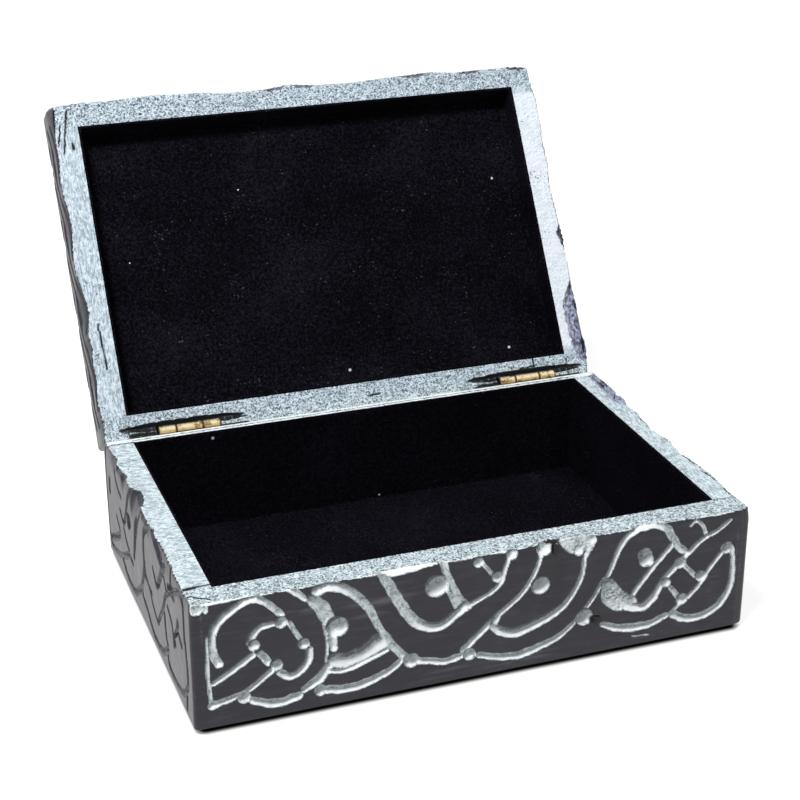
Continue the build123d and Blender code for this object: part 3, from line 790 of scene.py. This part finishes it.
class Finish(Nodes):
    def __init__(self, name, fixed):
        self.material = bpy.data.materials.new(name)
        self.material.use_nodes = True
        super().__init__(self.material.node_tree)
        self.shader = self.tree.nodes["Principled BSDF"]
        for socket, value in fixed.items():
            self.shader.inputs[socket].default_value = value

    def attribute(self, name, out="Fac"):
        return self.node("ShaderNodeAttribute", {"attribute_name": name}, {}, out)

    def place(self):  # the object's own coordinates, in millimetres
        own = self.node("ShaderNodeTexCoord", {}, {}, "Object")
        return self.stretched(own, (1000, 1000, 1000))

    def stretched(self, place, scale):
        return self.node("ShaderNodeMapping", {}, {"Vector": place, "Scale": scale})

    def partsOf(self, place):  # its x, y and z
        split = self.node("ShaderNodeSeparateXYZ", {}, {"Vector": place}).socket.node
        return [Wire(self, socket) for socket in split.outputs]

    def noise(self, place, size, detail=2.0, rough=0.5):
        sockets = {"Vector": place, "Scale": 1 / size, "Detail": detail, "Roughness": rough}
        return self.node("ShaderNodeTexNoise", {}, sockets)

    def between(self, value, low, high):  # 0 below low, 1 above high
        sockets = {"Value": value, "From Min": low, "From Max": high}
        return self.node("ShaderNodeMapRange", {"interpolation_type": "SMOOTHSTEP"}, sockets)

    def mix(self, first, second, share, blend="MIX"):
        settings = {"data_type": "RGBA", "blend_type": blend}
        return self.node("ShaderNodeMix", settings, {0: share, 6: first, 7: second}, 2)

    def bump(self, height, distance):  # distance in millimetres
        return self.node("ShaderNodeBump", {}, {"Height": height, "Distance": distance / 1000})

    def feed(self, **wires):
        for socket, wire in wires.items():
            self.tree.links.new(wire.socket, self.shader.inputs[socket.replace("_", " ")])
        return self.material


def grey(value):
    return (value, value, value, 1)


def soapstoneFinish():
    look = {
        "wax": (0.0085, 0.0080, 0.0175, 1), "waxWorn": (0.048, 0.048, 0.066, 1), "wiped": (0.20, 0.20, 0.23, 1),
        "cutDeep": (0.27, 0.33, 0.37, 1), "cutBright": (0.82, 0.89, 0.91, 1), "bleachedAndLit": (0.93, 0.96, 0.98, 1),
        "rimLow": (0.31, 0.38, 0.42, 1), "rimHigh": (0.69, 0.79, 0.83, 1), "rimSpeck": (0.04, 0.05, 0.06, 1),
        "facetLow": (0.12, 0.13, 0.21, 1), "facetHigh": (0.55, 0.58, 0.74, 1), "lidTint": (0.97, 0.985, 1.03, 1),
        "raw": (0.035, 0.038, 0.04, 1), "rawPale": (0.12, 0.13, 0.14, 1), "dirtAndShade": grey(0.004),
        "lidFrom": (36.6, 37.4), "bleachedRim": 0.62, "rough": 0.28, "relief": 0.2,
    }
    f = Finish("soapstone", {"Specular IOR Level": 0.46})
    place = f.place()
    cut, sawn, dark, speckle, haze, raw, facet = (
        f.attribute(name) for name in ("cut", "sawn", "dark", "speckle", "haze", "raw", "facet"))
    cloud = f.noise(place, 14, 3)
    streak = f.noise(f.stretched(place, (0.1, 0.5, 1)), 1.1, 4, 0.6)
    rubbedAndLit = f.noise(f.stretched(place, (0.35, 0.6, 1)), 2.2, 5, 0.7)
    grain, chalk = f.noise(place, 0.55, 3, 0.65), f.noise(place, 1.6, 3, 0.6)
    fine, brushed = f.noise(place, 0.55, 2, 0.7), f.noise(f.attribute("brush", "Vector"), 0.42, 3, 0.65)

    # Black wax, worn and wiped thin in places
    worn = f.between(streak, 0.5, 0.78) * 0.45 + f.between(rubbedAndLit, 0.48, 0.8) * 0.5 + f.between(cloud, 0.45, 0.75) * 0.2
    colour = f.mix(look["wax"], look["waxWorn"], worn)
    colour = f.mix(colour, look["wiped"], haze * f.between(streak, 0.38, 0.66) * 0.55)

    # Pale stone in the cuts, turning to the bleached tone as a painted highlight on the lit flanks
    bright = f.mix(look["cutDeep"], look["cutBright"], f.between(chalk * 0.55 + grain * 0.45, 0.36, 0.56))
    bright = f.mix(bright, look["bleachedAndLit"], f.between(cut, 0.95, 1.35) * 0.9)
    cutShare = f.between(cut + (grain - 0.5) * 0.3, 0.1, 0.9)
    colour = f.mix(colour, bright, cutShare)

    # The sawn rims, brushed and speckled; the lid's stone is a little bluer
    rim = f.mix(look["rimLow"], look["rimHigh"], f.between(brushed * 0.65 + chalk * 0.35, 0.4, 0.58))
    rim = f.mix(rim, look["bleachedAndLit"], f.between(speckle, 0.14, 0.02) * look["bleachedRim"])
    rim = f.mix(rim, look["rimSpeck"], f.between(fine, 0.48, 0.62) * speckle * 0.9)
    flecks = f.between(f.noise(place, 0.8, 2, 0.5) * 0.6 + f.noise(place, 7, 2, 0.5) * 0.4, 0.6, 0.66)
    rim = f.mix(rim, look["rimSpeck"], flecks * 0.8)
    rim = f.mix(rim, look["lidTint"], f.between(f.partsOf(place)[2], *look["lidFrom"]), "MULTIPLY")
    colour = f.mix(colour, rim, f.between(sawn + (grain - 0.5) * 0.4, 0.35, 0.75))

    # Broken facets, dirt in the seams with painted shade in the holes and under the hinges, and raw stone with painted
    # shade in the kerfs
    chipped = f.noise(f.stretched(place, (1, 0.25, 1)), 1.0, 3, 0.6)
    facetTone = f.mix(look["facetLow"], look["facetHigh"], f.between(chipped, 0.36, 0.62))
    colour = f.mix(colour, facetTone, facet * f.between(sawn, 0.6, 0.2))
    colour = f.mix(colour, look["dirtAndShade"], dark)
    # raw stone darkened with painted shade inside the kerfs
    colour = f.mix(colour, f.mix(look["raw"], look["rawPale"], f.between(grain, 0.5, 0.7)), raw)
    bare = f.maths("MAXIMUM", cutShare, sawn)
    rough = look["rough"] + cloud * 0.08 + bare * 0.5 + raw * 0.4
    relief = grain * (0.03 + bare * 0.3) + fine * bare * 0.5 + f.noise(place, 6, 3, 0.55) * 1.4
    return f.feed(Base_Color=colour, Roughness=rough, Normal=f.bump(relief, look["relief"]))


def velvetFinish(name, lint, shade):
    look = {"pile": (0.0020, 0.0017, 0.0030, 1), "lit": (0.0120, 0.0112, 0.0172), "dust": (0.05, 0.05, 0.06, 1),
            "fluff": (0.62, 0.66, 0.68, 1)}
    f = Finish(name, {"Roughness": 0.95, "Specular IOR Level": 0.03})
    place = f.place()
    nap = f.noise(place, 0.75, 3, 0.75)
    patch = f.noise(place, 24, 3, 0.5)
    # painted shade: the pile's lighter tone is scaled by shade
    lit = (*(shade * part for part in look["lit"]), 1)
    colour = f.mix(look["pile"], lit, f.between(nap * 0.75 + patch * 0.25, 0.42, 0.66))
    dust = f.between(f.noise(place, 0.6, 0, 0.5) * 0.7 + f.noise(place, 9, 1, 0.5) * 0.3, 0.71, 0.78)
    colour = f.mix(colour, look["dust"], dust)
    for spot, radius in lint:
        away = f.node("ShaderNodeVectorMath", {"operation": "DISTANCE"}, {0: place, 1: spot}, "Value")
        colour = f.mix(colour, look["fluff"], f.between(away, radius, 0.4 * radius))
    return f.feed(Base_Color=colour, Normal=f.bump(nap, 0.35))


plainLooks = {
    "felt": {"fixed": {"Roughness": 0.95, "Specular IOR Level": 0.15, "Sheen Weight": 0.05}, "size": 0.7,
             "dark": (0.006, 0.006, 0.007, 1), "light": (0.022, 0.022, 0.025, 1), "from": (0.35, 0.7), "relief": 0.4},
    "cement": {"fixed": {"Roughness": 0.9, "Specular IOR Level": 0.3}, "size": 0.9,
               "dark": (0.010, 0.011, 0.013, 1), "light": (0.17, 0.19, 0.20, 1), "from": (0.5, 0.74), "relief": 0.5},
}


def plainFinish(name):  # rough stuff in two tones
    look = plainLooks[name]
    f = Finish(name, look["fixed"])
    lumps = f.noise(f.place(), look["size"], 4, 0.7)
    colour = f.mix(look["dark"], look["light"], f.between(lumps, *look["from"]))
    return f.feed(Base_Color=colour, Normal=f.bump(lumps, look["relief"]))


def brassFinish():
    look = {"bright": (0.80, 0.60, 0.26, 1), "dull": (0.50, 0.34, 0.13, 1), "tarnishAndShade": (0.07, 0.035, 0.018, 1),
            "rubbedAndLit": (0.98, 0.90, 0.66, 1), "knuckle": 5.15, "gap": (0.5, 0.15)}
    f = Finish("brass", {"Metallic": 1.0})
    place = f.place()
    x, _, z = f.partsOf(place)
    height = z - pivotZ
    patch = f.noise(place, 2.4, 4, 0.65)
    fine = f.noise(f.stretched(place, (1, 4, 4)), 0.5, 2, 0.6)
    colour = f.mix(look["bright"], look["dull"], f.between(fine * 0.5 + patch * 0.5, 0.42, 0.62))
    # a painted highlight along the tops of the barrels
    colour = f.mix(colour, look["rubbedAndLit"], f.between(height, 0.35, 0.95) * f.between(patch, 0.62, 0.45) * 0.8)
    # tarnish in patches, and painted shade along the bottoms of the barrels
    tarnishedAndShaded = f.between(patch, 0.52, 0.66) * 0.8 + f.between(height + patch, 0.45, -0.25) * 0.85
    for side in ("left", "right"):  # dirt and painted shade in the gaps between the knuckles
        start, end = closedBox(f"{side}_hinge_base_leaf")[:, 0]
        for gap in (start + look["knuckle"], end - look["knuckle"], start, end):
            off = f.maths("ABSOLUTE", x - float(gap))
            tarnishedAndShaded = f.maths("MAXIMUM", tarnishedAndShaded, f.between(off, *look["gap"]) * 0.95)
    colour = f.mix(colour, look["tarnishAndShade"], tarnishedAndShaded)
    return f.feed(Base_Color=colour, Roughness=0.26 + patch * 0.3, Normal=f.bump(fine, 0.05))


soapstone = soapstoneFinish()
brass = brassFinish()
cement, felt = plainFinish("cement"), plainFinish("felt")
print("finishes made")

# Stone pieces: cell size, sides that nothing shows, the way that its rim was brushed, and how speckled it is
stonePieces = {
    "front_wall": {"cell": 0.3, "hidden": [(1, 1), (2, -1)], "brushed": 0, "speckle": 1.0},
    "back_wall": {"cell": 0.32, "hidden": [(1, -1), (2, -1)], "brushed": 0, "speckle": 0.04},
    "left_wall": {"cell": 0.3, "hidden": [(0, 1), (2, -1), (1, 1), (1, -1)], "brushed": 0, "speckle": 0.25},
    "right_wall": {"cell": 0.32, "hidden": [(0, -1), (2, -1), (1, 1), (1, -1)], "brushed": 1, "speckle": 0.15},
    "lid_slab": {"cell": 0.47, "hidden": [(2, -1)], "brushed": 0, "speckle": 1.0},
    "lid_front_rail": {"cell": 0.3, "hidden": [(1, 1), (2, 1), (0, 1), (0, -1)], "brushed": 0, "speckle": 1.0},
    "lid_back_rail": {"cell": 0.3, "hidden": [(1, -1), (2, 1), (0, 1), (0, -1)], "brushed": 0, "speckle": 1.0},
    "lid_left_rail": {"cell": 0.3, "hidden": [(0, 1), (2, 1)], "brushed": 1, "speckle": 0.15},
    "lid_right_rail": {"cell": 0.3, "hidden": [(0, -1), (2, 1)], "brushed": 0, "speckle": 0.0},
}
sawnPieces = ("back_wall", "lid_back_rail", "lid_left_rail", "lid_right_rail")

for name, make in stonePieces.items():
    body = "lid" if name in lidNodes else "base"
    low, high = closedBox(name)
    piece = plainBlock("carved_" + name, low, high, evenCells(low, high, make["cell"]))
    for axis, way in make["hidden"]:
        editFacing(piece, axis, way, bpy.ops.mesh.dissolve_faces)
    shapeStone(piece, body, make["brushed"], make["speckle"])
    if name in sawnPieces:
        addStopBevel(piece, body)
        sawKerfs(piece, body)
    finishPiece(piece, body, soapstone, [name])

# Velvet and felt: proud takes the velvet's lip up to the rim, and shade scales the pile's lighter tone, painted shade
# that is deeper in the well than in the lid
velvet = {"thick": 0.8, "cell": 1.6, "puff": 0.12, "proud": 0.08, "ragged": 0.05, "fold": 0.28}
trays = {
    "velvet_well": {"body": "base", "nodes": ["floor_lining"] + [side + "_lining" for side in sideNames], "shade": 0.74,
                    "lint": [((-44.9, 43.3, 34.0), 0.6), ((4.8, 43.2, 7.6), 0.4), ((59.9, 32.2, 7.2), 0.3)]},
    "velvet_lid": {"body": "lid", "nodes": ["lid_panel_lining"] + [f"lid_{side}_lining" for side in sideNames],
                   "shade": 1.0,
                   "lint": [((58.1, 88.7, 86.5), 0.5), ((1.7, 60.1, 41.5), 0.6), ((-22.3, 91.3, 90.5), 0.35),
                            ((-57.9, 81.5, 75.1), 0.3), ((52.9, 60.2, 41.7), 0.55)]},
}


def velvetTray(name, body, nodes, shade, lint):  # one cloth folded up at its four edges
    low, high = closedBox(*nodes)
    openWay = rimWay[body]
    floorZ, lipZ = (low[2], high[2])[::openWay]
    piece = plainBlock(name, low, high, evenCells(low, high, velvet["cell"]))
    editFacing(piece, 2, openWay, bpy.ops.mesh.delete, type="FACE")
    applyModifier(piece, "SOLIDIFY", thickness=velvet["thick"], offset=-1, use_even_offset=True)
    applyModifier(piece, "BEVEL", width=velvet["fold"], segments=2, limit_method="ANGLE", angle_limit=math.radians(60))
    points = readPoints(piece.data)
    inside = np.min([points[:, :2] - low[:2], high[:2] - points[:, :2]], axis=(0, 2))
    puffed = (inside > velvet["thick"] * 0.8) & (np.abs(points[:, 2] - floorZ) < 2)
    points[:, 2] += openWay * puffed * velvet["puff"] * (1 + unevenness(points, 9, 4)) / 2
    lip = np.abs(points[:, 2] - lipZ) < 0.5
    ragged = velvet["ragged"] * (1 + unevenness(points[lip], 1.5, 2)).clip(0)
    points[lip, 2] += openWay * (velvet["proud"] - ragged)
    writePoints(piece.data, points)
    finishPiece(piece, body, velvetFinish(name, lint, shade), nodes)


for name, make in trays.items():
    velvetTray(name, **make)

foot = {"cells": {0: 60, 1: 60}, "edge": 0.25, "corner": 5.0, "fray": 0.12, "frayedFrom": 0.4}


def feltFoot():
    low, high = closedBox("foot_pad")
    piece = plainBlock("felt_foot", low, high, foot["cells"])
    applyModifier(piece, "BEVEL", width=foot["edge"], segments=2, limit_method="ANGLE")
    points = readPoints(piece.data)
    middle, half = (low + high) / 2, (high - low) / 2
    moves = roundedEdge(*(half - np.abs(points - middle)).T[:2], foot["corner"])
    for axis, move in enumerate(moves):
        points[:, axis] -= np.sign(points[:, axis] - middle[axis]) * move
    fray = foot["fray"] * (1 + unevenness(points, 3, 12)).clip(0)
    for axis in (0, 1):
        atEdge = np.abs(points[:, axis] - middle[axis]) > half[axis] - foot["frayedFrom"]
        points[atEdge, axis] -= np.sign(points[atEdge, axis]) * fray[atEdge]
    writePoints(piece.data, points)
    finishPiece(piece, "base", felt, ["foot_pad"])


feltFoot()
print("cloth laid")

# The frame's own hinges, cement and floor slab keep their shape and get their finish
slotFinish = {"soapstone": soapstone, "brass": brass, "cement": cement}
slotOf = {part["node"]: part["material_slot"] for part in frame["record"]["subparts"]}
for name, node in frame["nodes"].items():
    if slotOf[name] in slotFinish and name not in stonePieces:
        node.data.materials.clear()
        node.data.materials.append(slotFinish[slotOf[name]])

# Floor, world and lights
# foot is the box's footprint, and dark the distances past it over which the painted contact shadow fades, in
# millimetres
stage = {"size": 4, "tone": 0.4, "lift": 0.85, "foot": (71.5, 47.2), "dark": (1.4, 4.2), "mirrored": 0.75}


def floorFinish():  # white, with a painted contact shadow where the box stands on it
    f = Finish("floor", {"Roughness": 0.9, "Specular IOR Level": 0.0, "Emission Strength": stage["lift"]})
    past = [f.maths("MAXIMUM", f.maths("ABSOLUTE", part) - reach, 0.0)
            for part, reach in zip(f.partsOf(f.place()), stage["foot"])]
    away = (past[0] * past[0] + past[1] * past[1]) ** 0.5
    lit = f.between(away, *stage["dark"])
    seen = f.ray("Camera") + f.ray("Glossy") * stage["mirrored"]
    colour = f.mix(grey(0.02), grey(stage["tone"]), lit)
    return f.feed(Base_Color=colour, Emission_Color=f.mix(grey(0), grey(1), lit * seen))


bpy.ops.object.select_all(action="DESELECT")
bpy.ops.mesh.primitive_plane_add(size=stage["size"], location=(0, 0, 0))
floor = bpy.context.active_object
floor.name = "floor"
floor.data.materials.append(floorFinish())

studio = {"soft": 0.12, "tint": (0.97, 0.985, 1.0, 1)}
world = bpy.data.worlds.new("studio")
world.use_nodes = True
world.node_tree.nodes.clear()
bpy.context.scene.world = world
sky = Nodes(world.node_tree)
seen = sky.maths("MAXIMUM", sky.ray("Camera"), sky.ray("Glossy"))
white = sky.node("ShaderNodeBackground", {}, {"Color": grey(1)})
soft = sky.node("ShaderNodeBackground", {}, {"Color": studio["tint"], "Strength": studio["soft"]})
shown = sky.node("ShaderNodeMixShader", {}, {0: seen, 1: soft, 2: white})
output = world.node_tree.nodes.new("ShaderNodeOutputWorld")
world.node_tree.links.new(shown.socket, output.inputs["Surface"])


def stand(name, data, place):
    made = bpy.data.objects.new(name, data)
    bpy.context.scene.collection.objects.link(made)
    made.location = place
    return made


lamps = {
    "key": {"place": (-0.38, -0.30, 0.9), "aim": (0, 0, 0.05), "size": 0.22, "power": 11.6},
    "overhead": {"place": (0.15, 0.1, 0.95), "aim": (0, 0, 0.05), "size": 0.5, "power": 1.2},
}
for name, make in lamps.items():
    light = bpy.data.lights.new(name, "AREA")
    light.size = make["size"]
    light.energy = make["power"]
    lamp = stand(name, light, make["place"])
    lamp.visible_glossy = False
    x, y, z = np.array(make["aim"]) - np.array(make["place"])
    lamp.rotation_euler = (math.atan2(math.hypot(x, y), -z), 0, math.atan2(y, x) - math.pi / 2)

view = {"place": (-0.15668, -0.42126, 0.25535), "tilt": 66.18, "turn": -19.89, "lens": 83.39}
lens = bpy.data.cameras.new("camera")
lens.lens = view["lens"]
camera = stand("camera", lens, view["place"])
camera.rotation_euler = (math.radians(view["tilt"]), 0, math.radians(view["turn"]))
bpy.context.scene.camera = camera
bpy.context.scene.view_settings.view_transform = "Standard"
print("stage set")
